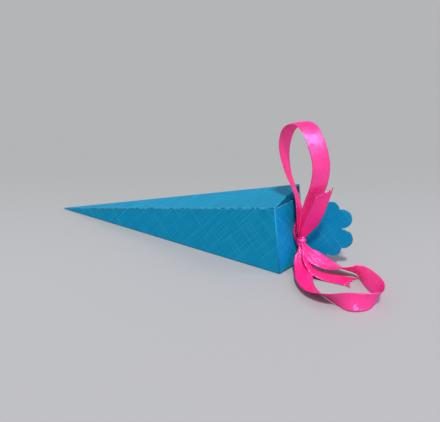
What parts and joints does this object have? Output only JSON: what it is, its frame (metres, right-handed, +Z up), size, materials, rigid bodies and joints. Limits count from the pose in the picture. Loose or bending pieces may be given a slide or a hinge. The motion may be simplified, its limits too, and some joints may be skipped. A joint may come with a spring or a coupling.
{
  "type": "cone favour box",
  "caption": "Long square pyramid gift box folded from one card, lying on its side, its scalloped closing heads tied with a ribbon bow.",
  "frame": {"origin": "on the panel that the box lies on, a third of the panel's height in from the wide end and midway across", "axes": "+X along the resting panel from the point towards the closed end, +Z up from the floor, +Y to the side away from the bow"},
  "size_m": [0.2263, 0.0605, 0.0841],
  "materials": {
    "embossed_card": "linen embossed, dyed blue, matt",
    "satin_ribbon": "woven satin, hot pink"
  },
  "bodies": {
    "root": {"card_box": "embossed_card", "ribbon": "satin_ribbon"}
  },
  "joints": []
}
